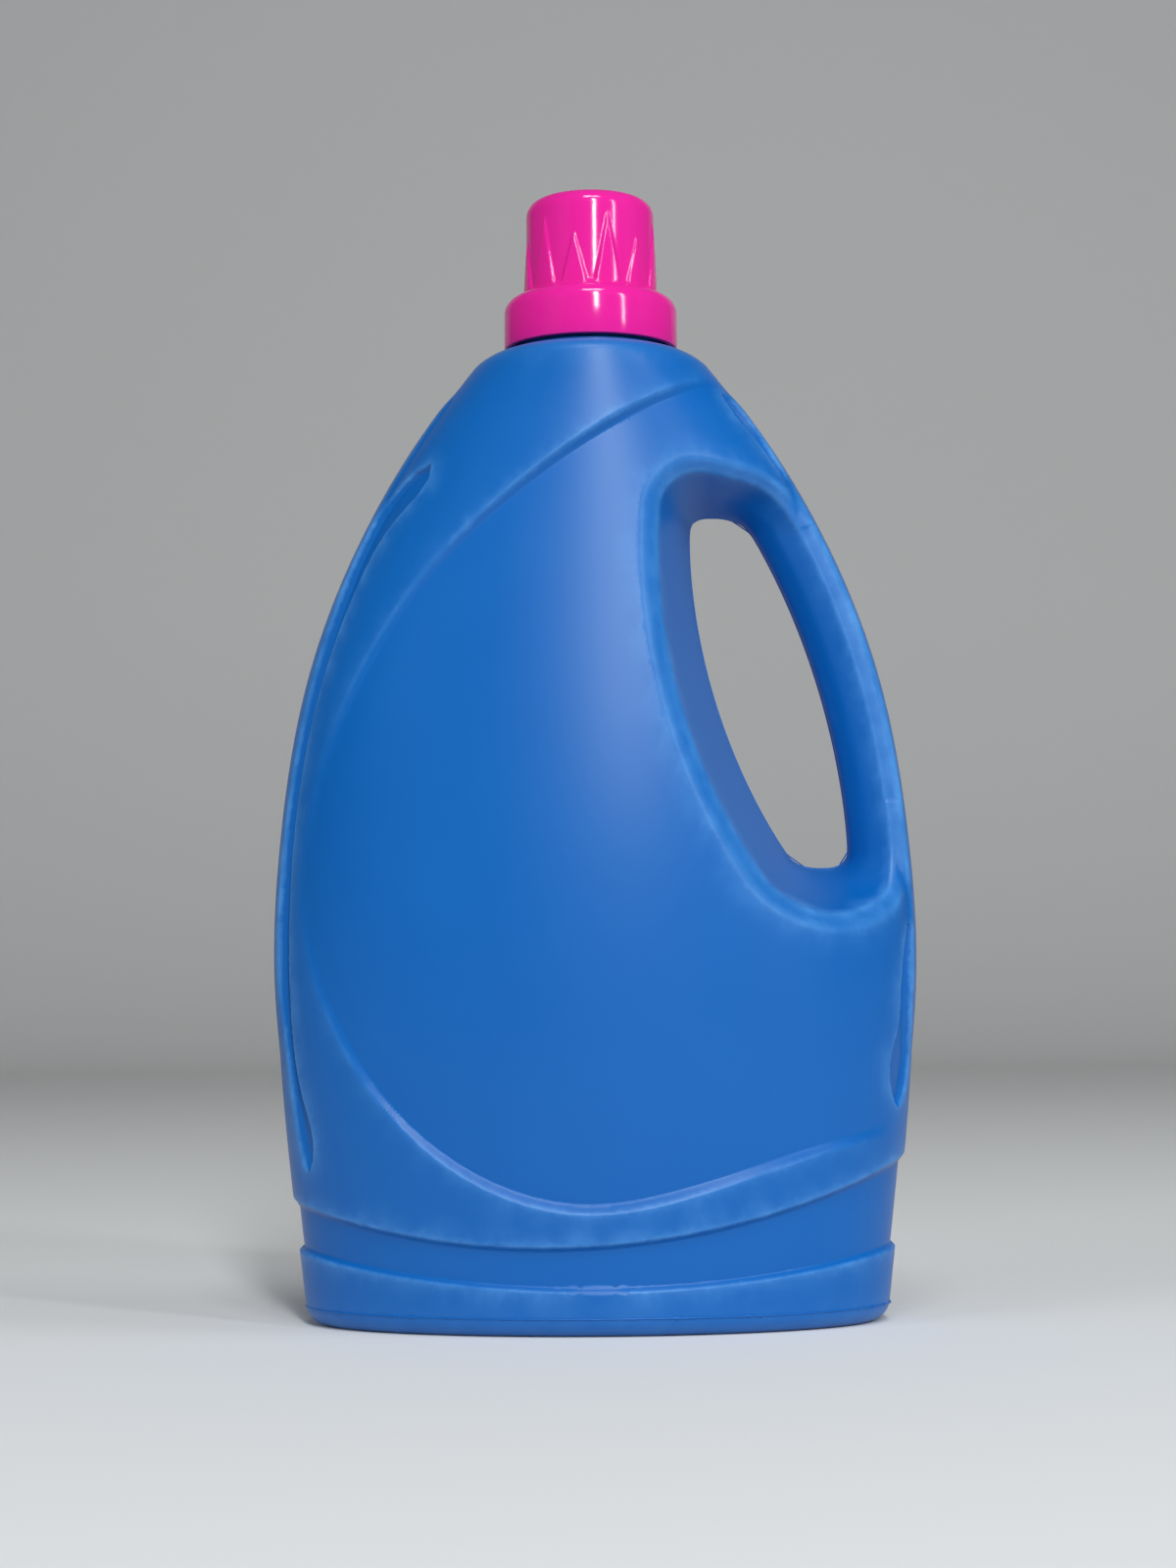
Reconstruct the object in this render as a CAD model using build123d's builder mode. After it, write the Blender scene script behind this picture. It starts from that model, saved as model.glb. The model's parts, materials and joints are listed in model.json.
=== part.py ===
"""Two litre bottle for fabric softener: a blow-moulded bottle with a through handle, a pouring
insert in its neck, a sealing ring and a dosing cap. Millimetres, +Z up, front face towards -Y."""
import os

from build123d import *

os.makedirs("parts", exist_ok=True)

# Bottle: outer form, oval in plan, round at the shoulder ring
shoulder_height = 257.5
body_width = 168.8
body_depth = 94.0
shoulder_ring_diameter = 57.0
wall = 1.0
base_round = 5.0
shoulder_round = 4.5
base_rise = 3.0
base_land = 12.0

# Height, and how far width and depth have swelled from the shoulder ring to the full size
swell_shares = (
    (0.000, 0.857, 0.600),
    (0.078, 0.898, 0.730),
    (0.194, 0.957, 0.905),
    (0.353, 1.000, 1.000),
    (0.497, 0.971, 0.952),
    (0.660, 0.843, 0.724),
    (0.800, 0.603, 0.434),
    (0.905, 0.329, 0.186),
    (0.971, 0.107, 0.034),
    (1.000, 0.000, 0.000),
)

# Leaf panel, sunk into both broad faces; its outline in shares of half width and shoulder height
panel_drop = 2.2
panel_fade = 0.5
panel_middle_share = (0.15, 0.53)
panel_outline_shares = (
    (1.20, 0.216),
    (0.64, 0.176),
    (0.27, 0.140),
    (-0.05, 0.125),
    (-0.45, 0.172),
    (-0.74, 0.274),
    (-0.90, 0.430),
    (-0.86, 0.540),
    (-0.69, 0.672),
    (-0.49, 0.763),
    (-0.21, 0.848),
    (0.08, 0.914),
    (0.37, 0.960),
    (0.80, 0.995),
)

# Band sunk between the belt and the foot; heights of its two edges at the left, middle and right
band_drop = 1.5
reach_share = 1.2
foot_edge_shares = (0.098, 0.0465, 0.098)
belt_edge_shares = (0.155, 0.088, 0.205)

# Spines up the two narrow sides; the rise is below the surface under the spine's foot
spine_rise = 0.8
spine_width = 19.0
spine_round = 8.0
spine_span_shares = (0.12, 0.963)
spine_rise_shares = (-1, -1, -1, 1, 1, 1, 1, 1, 1, 1)

# Flutes sunk beside the spines, as closed outlines in shares of half depth and shoulder height
flute_drop = 1.2
left_flute_shares = (
    (0.400, 0.873),
    (0.300, 0.860),
    (0.215, 0.828),
    (0.207, 0.740),
    (0.207, 0.450),
    (0.220, 0.330),
    (0.290, 0.235),
    (0.375, 0.163),
    (0.400, 0.175),
    (0.365, 0.235),
    (0.310, 0.330),
    (0.290, 0.450),
    (0.295, 0.640),
    (0.315, 0.760),
    (0.370, 0.820),
    (0.430, 0.855),
)
right_foot_flute_shares = (
    (0.220, 0.400),
    (0.207, 0.340),
    (0.210, 0.240),
    (0.290, 0.220),
    (0.365, 0.240),
    (0.330, 0.300),
    (0.250, 0.390),
)
right_head_flute_shares = (
    (0.255, 0.950),
    (0.205, 0.940),
    (0.205, 0.880),
    (0.215, 0.868),
    (0.245, 0.900),
    (0.275, 0.940),
)

# Window through the handle: corners and middles of its sides at the parting plane. Its walls
# flare towards both faces; on the grip a narrow land at the parting plane flares wide beyond it
window_left_shares = ((0.306, 0.829), (0.365, 0.660), (0.632, 0.462))
window_right_shares = ((0.806, 0.462), (0.703, 0.660), (0.479, 0.829))
window_corner_share = 0.5107
window_draft = 0.30
grip_draft = 1.5
grip_land_share = 0.3064
grip_corner_share = 0.66
land_inlay = 0.5
window_lip_round = 2.5

# Neck: a low bead on the shoulder and a plain finish
neck_diameter = 38.8
neck_bore = 35.2
neck_height = 11.7
bead_diameter = 43.0
bead_height = 1.2
bead_round = 0.8

# Pouring insert
plug_clearance = 0.1
plug_length = 12.0
insert_wall = 1.2
flange_diameter = 38.8
flange_thickness = 1.4
trough_fall = 2.0
spout_diameter = 23.0
spout_height = 18.0
lip_fall = 4.0
drain_width = 6.0
drain_height = 8.0
drain_round_share = 0.3

# Sealing ring
seal_diameter = 41.0
seal_bore = 33.4
seal_thickness = 1.2

# Dosing cap
cap_wall = 1.6
collar_diameter = 46.6
collar_bore = 43.2
collar_gap = 1.7
collar_round = 4.5
cup_diameter = 34.5
cup_height = 26.6
cup_round = 4.5
cup_flutes = 12
cup_flute_rise = 0.7
cup_flute_sink_share = 0.15
cup_flute_width = 7.2
cup_flute_foot = 1.5
cup_flute_turn_share = 0.52
cup_flute_reach_shares = (0.74, 0.54)

half_width = body_width / 2
half_depth = body_depth / 2
window_foot = (window_right_shares[0][0] - window_left_shares[-1][0]) * half_width
window_corner = window_corner_share * window_foot
grip_land = grip_land_share * window_foot
front = Plane.XZ
side = Plane.YZ


def form(width_grow, depth_grow, inset, rise=0, foot_inset=0):
    """Solid of the body's form, grown in width and depth, its base and top drawn in."""
    ring = shoulder_ring_diameter / 2
    with BuildPart() as solid:
        for (height, swell_x, swell_y), rise_share in zip(swell_shares, spine_rise_shares):
            at_foot = foot_inset if rise_share < 0 else 0
            level = inset + (shoulder_height - 2 * inset) * height
            with BuildSketch(Plane.XY.offset(level)):
                Ellipse(
                    ring + (half_width - ring) * swell_x + width_grow + rise * rise_share - at_foot,
                    ring + (half_depth - ring) * swell_y + depth_grow - at_foot,
                )
        loft()
    return solid.part


def on_front(shares):
    return [(x * half_width, z * shoulder_height) for x, z in shares]


def on_side(shares):
    return [(y * half_depth, z * shoulder_height) for y, z in shares]


def panel(floor, margin):
    """What the leaf panel takes off both broad faces down to its floor, its outline grown by a margin."""
    [(middle_x, middle_z)] = on_front([panel_middle_share])
    swell = 1 + 2 * margin / half_width
    outline = [
        (middle_x + (x - middle_x) * swell, middle_z + (z - middle_z) * swell)
        for x, z in on_front(panel_outline_shares)
    ]
    with BuildPart() as solid:
        with BuildSketch(front):
            with BuildLine():
                Spline(*outline)
                Polyline(outline[-1], (reach_share * half_width, outline[-1][1]), outline[0])
            make_face()
        extrude(amount=body_depth, both=True)
        add(floor, mode=Mode.SUBTRACT)
    return solid.part


def band():
    """What the sunk band takes off all round."""
    reach = reach_share * half_width
    low = [(x, z * shoulder_height) for x, z in zip((-reach, 0, reach), foot_edge_shares)]
    high = [(x, z * shoulder_height) for x, z in zip((-reach, 0, reach), belt_edge_shares)]
    with BuildPart() as solid:
        with BuildSketch(front):
            with BuildLine():
                ThreePointArc(*low)
                Line(low[-1], high[-1])
                ThreePointArc(*high)
                Line(high[0], low[0])
            make_face()
        extrude(amount=body_depth, both=True)
        add(form(-band_drop, -band_drop, 0), mode=Mode.SUBTRACT)
    return solid.part


def spines():
    """The spines up both narrow sides, as one bar through the body."""
    foot, head = (share * shoulder_height for share in spine_span_shares)
    with BuildPart() as solid:
        with BuildSketch(side):
            with Locations((0, (foot + head) / 2)):
                RectangleRounded(spine_width, head - foot, spine_round)
        extrude(amount=body_width, both=True)
        add(form(0, 0, 0, spine_rise), mode=Mode.INTERSECT)
    return solid.part


def flutes():
    """What the flutes take off beside the spines."""
    with BuildPart() as solid:
        for shares, way in (
            (left_flute_shares, -1),
            (right_foot_flute_shares, 1),
            (right_head_flute_shares, 1),
        ):
            with BuildSketch(side):
                with BuildLine():
                    Spline(*on_side(shares), periodic=True)
                make_face()
                mirror(about=Plane.YZ)
            extrude(amount=way * body_width)
        add(form(-flute_drop, -flute_drop, 0), mode=Mode.SUBTRACT)
    return solid.part


def window_outline(left_grow, right_grow, corner):
    """Outline of the window, grown to the left, top and bottom, and to the right."""
    lifts = (left_grow, 0, -left_grow)
    left = [(x - left_grow, z + lift) for (x, z), lift in zip(on_front(window_left_shares), lifts)]
    right = [(x + right_grow, z - lift) for (x, z), lift in zip(on_front(window_right_shares), lifts)]
    with BuildSketch() as outline:
        with BuildLine():
            ThreePointArc(*left)
            Line(left[-1], right[0])
            ThreePointArc(*right)
            Line(right[-1], left[0])
        make_face()
        ends = outline.vertices().group_by(Axis.Y)
        fillet(
            [end.sort_by(Axis.X)[-1] for end in ends],
            corner + max(left_grow, grip_corner_share * right_grow),
        )
        lefts = [v for v in outline.vertices() if min((v.X - x) ** 2 + (v.Y - z) ** 2 for x, z in left) < wall]
        fillet(lefts, corner + left_grow)
    return outline.sketch


def window(inset):
    """The window: walls that flare to both faces, widest over the grip, and the grip's land."""
    left = inset * (1 + window_draft**2) ** 0.5
    right = inset * (1 + grip_draft**2) ** 0.5 - grip_land
    corner = window_corner - grip_land / 2
    with BuildPart() as solid:
        for way in (-1, 1):
            with BuildPart():
                with BuildSketch(front):
                    add(window_outline(left, right, corner))
                with BuildSketch(front.offset(way * half_depth)):
                    add(window_outline(left + window_draft * half_depth, right + grip_draft * half_depth, corner))
                loft(ruled=True)
        with BuildSketch(front):
            add(window_outline(left - land_inlay, inset, window_corner))
        extrude(amount=grip_land / grip_draft, both=True)
    return solid.part


def base_hollow(inset):
    """The rise in the middle of the base, so that the bottle stands on a land round its edge."""
    ring = shoulder_ring_diameter / 2
    wide = ring + (half_width - ring) * swell_shares[0][1] - base_land + inset
    deep = ring + (half_depth - ring) * swell_shares[0][2] - base_land + inset
    with BuildPart() as solid:
        with BuildSketch():
            Ellipse(wide, deep)
        with BuildSketch(Plane.XY.offset(base_rise + inset)):
            Ellipse(wide - base_land, deep - base_land)
        loft()
    return solid.part


def rounded(solid, inset):
    """Rounds the edges of the base and of the shoulder ring."""
    fillet(solid.edges().group_by(Axis.Z)[0], base_round - inset)
    fillet(solid.edges().group_by(Axis.Z)[-1], shoulder_round - inset)


def outside():
    """The body below the neck as a solid."""
    with BuildPart() as solid:
        add(form(0, 0, 0))
        rounded(solid, 0)
        add(panel(form(panel_fade, -panel_drop, 0), 0), mode=Mode.SUBTRACT)
        add(spines())
        add(flutes(), mode=Mode.SUBTRACT)
        add(band(), mode=Mode.SUBTRACT)
        add(window(0), mode=Mode.SUBTRACT)
        spans = [(edge, edge.bounding_box()) for edge in solid.edges(Select.NEW)]
        lips = [edge for edge, box in spans if min(abs(box.min.Y), abs(box.max.Y)) > 2 * grip_land]
        fillet(lips, window_lip_round)
        add(base_hollow(0), mode=Mode.SUBTRACT)
    return solid.part


def inside():
    """The hollow of the body: it follows the panel and the window, and clears flutes and band."""
    foot_inset = band_drop
    narrow = wall + flute_drop
    with BuildPart() as solid:
        add(form(-narrow, -wall, wall, foot_inset=foot_inset))
        rounded(solid, wall)
        floor = form(panel_fade - narrow, -panel_drop - wall, wall, foot_inset=foot_inset)
        add(panel(floor, wall), mode=Mode.SUBTRACT)
        add(window(wall), mode=Mode.SUBTRACT)
        add(base_hollow(wall), mode=Mode.SUBTRACT)
    return solid.part


def above(level):
    return Locations((0, 0, level))


stand = (Align.CENTER, Align.CENTER, Align.MIN)

with BuildPart() as bottle:
    add(outside())
    add(inside(), mode=Mode.SUBTRACT)
    with above(shoulder_height):
        Cylinder(bead_diameter / 2, bead_height, align=stand)
    fillet(bottle.edges().group_by(Axis.Z)[-1], bead_round)
    with above(shoulder_height):
        Cylinder(neck_diameter / 2, neck_height, align=stand)
    with above(shoulder_height - 2 * wall):
        Cylinder(neck_bore / 2, neck_height + 2 * wall, align=stand, mode=Mode.SUBTRACT)
bottle.part.label = "bottle"
export_step(bottle.part, "parts/bottle.step")

# Pouring insert: a flange on the rim, a plug in the neck, a trough round a slanted spout
rim = shoulder_height + neck_height
plug_radius = neck_bore / 2 - plug_clearance
trough_radius = plug_radius - insert_wall
spout_bore = spout_diameter / 2 - insert_wall
plug_foot = rim - plug_length
spout_top = rim + spout_height
with BuildPart() as pour_spout:
    with BuildSketch(front):
        with BuildLine():
            Polyline(
                (plug_radius, rim),
                (flange_diameter / 2, rim),
                (flange_diameter / 2, rim + flange_thickness),
                (trough_radius, rim + flange_thickness),
                (trough_radius, plug_foot + trough_fall + insert_wall),
                (spout_diameter / 2, plug_foot + insert_wall),
                (spout_diameter / 2, spout_top),
                (spout_bore, spout_top),
                (spout_bore, plug_foot),
                (plug_radius, plug_foot + trough_fall),
                (plug_radius, rim),
            )
        make_face()
    revolve(axis=Axis.Z)
    with BuildSketch(front):
        with BuildLine():
            Polyline(
                (-spout_diameter, spout_top + lip_fall / 2),
                (spout_diameter, spout_top + lip_fall / 2),
                (spout_diameter, spout_top - lip_fall * 3 / 2),
                close=True,
            )
        make_face()
    extrude(amount=spout_diameter, both=True, mode=Mode.SUBTRACT)
    with BuildSketch(side):
        with Locations((0, plug_foot + insert_wall + drain_height / 2)):
            RectangleRounded(drain_width, drain_height, drain_width * drain_round_share)
    extrude(amount=(spout_diameter + insert_wall) / 2, mode=Mode.SUBTRACT)
pour_spout.part.label = "pour_spout"
export_step(pour_spout.part, "parts/pour_spout.step")

# Sealing ring: lies between the flange and the step inside the cap
seal_foot = rim + flange_thickness
with BuildPart() as seal_ring:
    with above(seal_foot):
        Cylinder(seal_diameter / 2, seal_thickness, align=stand)
        Cylinder(seal_bore / 2, seal_thickness, align=stand, mode=Mode.SUBTRACT)
seal_ring.part.label = "seal_ring"
export_step(seal_ring.part, "parts/seal_ring.step")

# Dosing cap: a collar over the neck and a cup above it, with pointed flutes standing on the cup
step_level = seal_foot + seal_thickness
collar_top = step_level + cap_wall
collar_foot = shoulder_height + collar_gap
cup_top = collar_top + cup_height
cup_radius = cup_diameter / 2
with BuildPart() as dosing_cap:
    with above(collar_foot):
        Cylinder(collar_diameter / 2, collar_top - collar_foot, align=stand)
    fillet(dosing_cap.edges().group_by(Axis.Z)[-1], collar_round)
    with above(collar_top - cap_wall):
        Cylinder(cup_radius, cup_height + cap_wall, align=stand)
    fillet(dosing_cap.edges().group_by(Axis.Z)[-1], cup_round)
    with BuildPart():
        with BuildSketch(Plane.XY.offset(collar_top)):
            Circle(cup_radius + cup_flute_rise)
        with BuildSketch(Plane.XY.offset(cup_top - cup_round)):
            Circle(cup_radius - cup_flute_rise * cup_flute_sink_share)
        loft()
        with BuildPart(mode=Mode.INTERSECT):
            with above(collar_top):
                Cylinder(cup_diameter, cup_flute_foot, align=stand)
            for number in range(cup_flutes):
                reach = cup_height * cup_flute_reach_shares[number % 2]
                around = 360 / cup_flutes
                with BuildSketch(Plane.XZ.rotated((0, 0, around * (number + cup_flute_turn_share)))):
                    with BuildLine():
                        Polyline(
                            (-cup_flute_width / 2, collar_top),
                            (cup_flute_width / 2, collar_top),
                            (0, collar_top + reach),
                            close=True,
                        )
                    make_face()
                extrude(amount=cup_diameter)
    with above(collar_foot):
        Cylinder(collar_bore / 2, step_level - collar_foot, align=stand, mode=Mode.SUBTRACT)
    with above(step_level):
        Cylinder(cup_radius - cap_wall, cup_top - step_level - cap_wall, align=stand, mode=Mode.SUBTRACT)
dosing_cap.part.label = "dosing_cap"
export_step(dosing_cap.part, "parts/dosing_cap.step")
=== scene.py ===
# %% [markdown]
# # A bottle for fabric softener
# A tall blow-moulded bottle with a through handle, and a dosing cap screwed on its neck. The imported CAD
# model is the fixed frame: every piece made here lies where its solid is and moves with that solid's body.
# The solids have the true sizes but knife-sharp steps, so the skin is made again with the soft edges that
# a blown skin has, and the cap with its fine flutes.

import json
import math

import bmesh
import bpy
import numpy as np
from mathutils import Matrix, Vector

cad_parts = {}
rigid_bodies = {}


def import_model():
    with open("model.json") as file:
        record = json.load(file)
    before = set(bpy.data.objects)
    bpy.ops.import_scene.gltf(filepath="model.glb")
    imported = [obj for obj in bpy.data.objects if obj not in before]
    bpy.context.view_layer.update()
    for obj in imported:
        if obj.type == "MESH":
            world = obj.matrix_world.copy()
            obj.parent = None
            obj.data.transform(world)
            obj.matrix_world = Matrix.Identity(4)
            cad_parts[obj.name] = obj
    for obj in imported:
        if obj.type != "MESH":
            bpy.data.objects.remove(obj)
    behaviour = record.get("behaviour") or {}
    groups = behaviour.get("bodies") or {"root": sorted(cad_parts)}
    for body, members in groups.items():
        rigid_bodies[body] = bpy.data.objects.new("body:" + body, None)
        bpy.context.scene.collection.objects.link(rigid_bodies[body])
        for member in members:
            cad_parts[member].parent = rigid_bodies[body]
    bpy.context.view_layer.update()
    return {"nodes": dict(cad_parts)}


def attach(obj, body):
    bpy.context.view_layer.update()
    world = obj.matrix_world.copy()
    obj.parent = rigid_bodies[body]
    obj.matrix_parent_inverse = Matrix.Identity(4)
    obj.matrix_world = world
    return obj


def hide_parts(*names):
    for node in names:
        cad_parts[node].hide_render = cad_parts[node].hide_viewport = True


MM = 0.001


def show(piece):
    """Puts an object into the scene."""
    bpy.context.scene.collection.objects.link(piece)


for spare in list(bpy.data.objects):
    bpy.data.objects.remove(spare)
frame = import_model()

# %% [markdown]
# ## The oval form
# The body is oval in plan and swells from a round shoulder ring to its full width and depth. A table gives
# the swell at a few heights, and a natural cubic spline runs smoothly through it. Everything about the form
# is written as one number per point, its gap to the surface: below zero inside, above zero outside. A sum
# of such gaps blends softly where an edge would be sharp, which is how a blown skin looks.

# %% Curves through tables
def smooth_curve(knots, values):
    """A natural cubic spline through values at knots, as a function."""
    knots, values = np.asarray(knots, float), np.asarray(values, float)
    step = np.diff(knots)
    count = len(knots)
    system, right = np.eye(count), np.zeros((count,) + values.shape[1:])
    slope = np.diff(values, axis=0) / step.reshape((-1,) + (1,) * (values.ndim - 1))
    for row in range(1, count - 1):
        system[row, row - 1 : row + 2] = step[row - 1], 2 * (step[row - 1] + step[row]), step[row]
        right[row] = 6 * (slope[row] - slope[row - 1])
    bend = np.linalg.solve(system, right)

    def at(place):
        span = np.clip(np.searchsorted(knots, place) - 1, 0, count - 2)
        width = step[span]
        left, far = knots[span + 1] - place, place - knots[span]
        if values.ndim > 1:
            width, left, far = width[:, None], left[:, None], far[:, None]
        return (
            (bend[span] * left**3 + bend[span + 1] * far**3) / (6 * width)
            + (values[span] / width - bend[span] * width / 6) * left
            + (values[span + 1] / width - bend[span + 1] * width / 6) * far
        )

    return at


def ease(share):
    """Runs smoothly from 0 to 1."""
    share = np.clip(share, 0, 1)
    return share * share * (3 - 2 * share)


def ramp(share, soft=0.16):
    """Runs from 0 to 1 in a straight line with rounded ends."""

    def bent(place):
        return np.where(place < soft, np.maximum(place + soft, 0) ** 2 / (4 * soft), place)

    return bent(share) - bent(share - 1)


shoulder_height = 257.5
half_width, half_depth, ring = 84.4, 47.0, 28.5
swell_shares = np.array(
    [
        (0.000, 0.857, 0.600),
        (0.078, 0.898, 0.730),
        (0.194, 0.957, 0.905),
        (0.353, 1.000, 1.000),
        (0.497, 0.971, 0.952),
        (0.660, 0.843, 0.724),
        (0.800, 0.603, 0.434),
        (0.905, 0.329, 0.186),
        (0.971, 0.107, 0.034),
        (1.000, 0.000, 0.000),
    ]
)
width_at = smooth_curve(swell_shares[:, 0] * shoulder_height, ring + (half_width - ring) * swell_shares[:, 1])
depth_at = smooth_curve(swell_shares[:, 0] * shoulder_height, ring + (half_depth - ring) * swell_shares[:, 2])


def oval_gap(points, width, depth):
    """Level gap to the oval with these half axes, close to the true gap near the surface."""
    x, y = points[:, 0], points[:, 1]
    reach = np.sqrt((x / width) ** 2 + (y / depth) ** 2) + 1e-9
    return (reach - 1) * reach / (np.sqrt((x / width**2) ** 2 + (y / depth**2) ** 2) + 1e-9)


def soft_max(first, second, soft):
    """The larger of two values, blended over a soft width where they cross."""
    return (first + second + np.sqrt((first - second) ** 2 + soft**2)) / 2


def round_join(first, second, radius):
    """The larger of two gaps, with the edge between them rounded."""
    outer = np.hypot(np.maximum(first + radius, 0), np.maximum(second + radius, 0))
    return np.minimum(np.maximum(first, second), -radius) + outer


widest = swell_shares[swell_shares[:, 1].argmax(), 0] * shoulder_height
print("widest", half_width, "mm from the axis, at a height of", round(widest, 1), "mm")

# %% [markdown]
# ## Panel, band, spines and flutes
# A mould maker cuts the leaf panel and the flutes as outlines, seen from the front or from the side, and
# then sinks their floors. The same is done here: a smooth curve runs through a few points of each outline.
# The gap to it, eased over the width of the step, says how much of the sunk floor shows. Boolean cuts
# could make the steps too, but their edges would stay sharp and would have to be rounded one by one.

# %% Gap to an outline
outline_wrap, outline_finer, gap_batch, tiny = 3, 6, 4000, 1e-12


def closed_outline(shares, across, up, runs_open=False):
    """Points along a smooth curve through a table of shares, closed on itself."""
    points = np.asarray(shares, float) * (across, up)
    turns = points if runs_open else np.vstack([points[-outline_wrap:], points, points[: outline_wrap + 1]])
    lengths = np.concatenate([[0], np.cumsum(np.linalg.norm(np.diff(turns, axis=0), axis=1))])
    first, last = (0, len(turns) - 1) if runs_open else (outline_wrap, len(points) + outline_wrap)
    count = outline_finer * len(points) + 1
    return smooth_curve(lengths, turns)(np.linspace(lengths[first], lengths[last], count))


def exact_gap(places, outline):
    """Gap in the plane to an outline, below zero inside it."""
    start, end = outline, np.roll(outline, -1, axis=0)
    run = end - start
    size = np.maximum((run**2).sum(1), tiny)
    rise = np.where(np.abs(run[:, 1]) < tiny, tiny, run[:, 1])
    gap = np.empty(len(places))
    for low in range(0, len(places), gap_batch):
        batch = places[low : low + gap_batch]
        x, z = batch[:, :1] - start[:, 0], batch[:, 1:] - start[:, 1]
        share = np.clip((x * run[:, 0] + z * run[:, 1]) / size, 0, 1)
        near = np.sqrt(((x - share * run[:, 0]) ** 2 + (z - share * run[:, 1]) ** 2).min(1))
        over = (z < 0) != (z < run[:, 1])
        cross = over & (x < z * run[:, 0] / rise)
        gap[low : low + gap_batch] = np.where(cross.sum(1) % 2 == 1, -near, near)
    return gap


def outline_gap(places, outline, rough=outline_finer, safe=9.0):
    """The same gap, exact near the outline and from every sixth point of it elsewhere."""
    gap = exact_gap(places, outline[::rough])
    close = np.abs(gap) < safe
    gap[close] = exact_gap(places[close], outline)
    return gap


# %% The outlines and the steps
panel_drop, panel_fade, panel_step = 2.2, 0.5, 2.4
panel_shares = (
    (1.20, 0.216), (0.64, 0.176), (0.27, 0.140), (-0.05, 0.125), (-0.45, 0.172), (-0.74, 0.274),
    (-0.90, 0.430), (-0.86, 0.540), (-0.69, 0.672), (-0.49, 0.763), (-0.21, 0.848), (0.08, 0.914),
    (0.37, 0.960), (0.80, 0.995),
)
panel_outline = closed_outline(panel_shares, half_width, shoulder_height, runs_open=True)

band_drop, band_step = 1.5, 1.4
band_reach = 1.2 * half_width
foot_shares, belt_shares = (0.098, 0.0465, 0.098), (0.155, 0.088, 0.205)

spine_rise, spine_half, spine_step = 0.8, 9.5, 1.4
spine_span, spine_fades = (0.12 * shoulder_height, 0.963 * shoulder_height), (20, 6)
spine_ways = np.array([-1.0] * 3 + [1.0] * 7)
spine_rises = smooth_curve(swell_shares[:, 0] * shoulder_height, spine_rise * spine_ways)

flute_drop, flute_step = 1.7, 1.2
left_flute = closed_outline(
    (
        (0.400, 0.873), (0.300, 0.860), (0.215, 0.828), (0.207, 0.740), (0.207, 0.450), (0.220, 0.330),
        (0.290, 0.235), (0.375, 0.163), (0.400, 0.175), (0.365, 0.235), (0.310, 0.330), (0.290, 0.450),
        (0.295, 0.640), (0.315, 0.760), (0.370, 0.820), (0.430, 0.855),
    ),
    half_depth,
    shoulder_height,
)
right_foot_flute = closed_outline(
    (
        (0.220, 0.400), (0.207, 0.340), (0.210, 0.240), (0.290, 0.220), (0.365, 0.240), (0.330, 0.300),
        (0.250, 0.390),
    ),
    half_depth,
    shoulder_height,
)
right_head_flute = closed_outline(
    ((0.255, 0.950), (0.205, 0.940), (0.205, 0.880), (0.215, 0.868), (0.245, 0.900), (0.275, 0.940)),
    half_depth,
    shoulder_height,
)

print("panel outline", len(panel_outline), "points, left flute", len(left_flute), "points")

# %% [markdown]
# ## Window and hold
# The handle's window is bounded by two arcs and two short ends. In a mould its walls need draft, so the
# window opens towards both faces, and over the grip in two slopes so that the hand finds no edge. A lip
# runs round it. The hold is the stretch of the handle that a second mould block shapes, which leaves a
# fine step. All of it is one gap more, since a window cut by a Boolean would leave no flowing lip.

# %% The window's gap
window_left = np.array([(0.306, 0.829), (0.365, 0.660), (0.632, 0.462)]) * (half_width, shoulder_height)
window_right = np.array([(0.806, 0.462), (0.703, 0.660), (0.479, 0.829)]) * (half_width, shoulder_height)
window_corner, window_draft, grip_land, grip_corner = 7.5, 0.30, 4.5, 0.66
window_end_drafts, end_blend, end_round = (0.36, 0.50), 3.0, 1.0
grip_half, grip_slopes, grip_turn, grip_softs = 3.0, (1.0, 2.4), 4.5, (1.2, 1.5)
grip_spare, grip_blend, nudge = 1.5, 16, 0.1
lip_cut, lip_round, lip_edge = 1.9, 1.0, 0.6


def circle_through(points):
    """Centre and radius of the circle through three points."""
    (ax, ay), (bx, by), (cx, cy) = points
    turn = 2 * (ax * (by - cy) + bx * (cy - ay) + cx * (ay - by))
    squares = [px * px + py * py for px, py in points]
    x = (squares[0] * (by - cy) + squares[1] * (cy - ay) + squares[2] * (ay - by)) / turn
    y = (squares[0] * (cx - bx) + squares[1] * (ax - cx) + squares[2] * (bx - ax)) / turn
    return np.array([x, y]), math.hypot(ax - x, ay - y)


left_circle, right_circle = circle_through(window_left), circle_through(window_right)


def grip_flare(side):
    """How far the grip's wall has opened at a distance from the parting plane: steeply, then wide."""
    steep, wide = grip_slopes
    over = side - grip_half
    opened = soft_max(steep * over, wide * (over - grip_turn) + steep * grip_turn, grip_softs[0])
    return soft_max(opened, 0, grip_softs[1])


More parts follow.
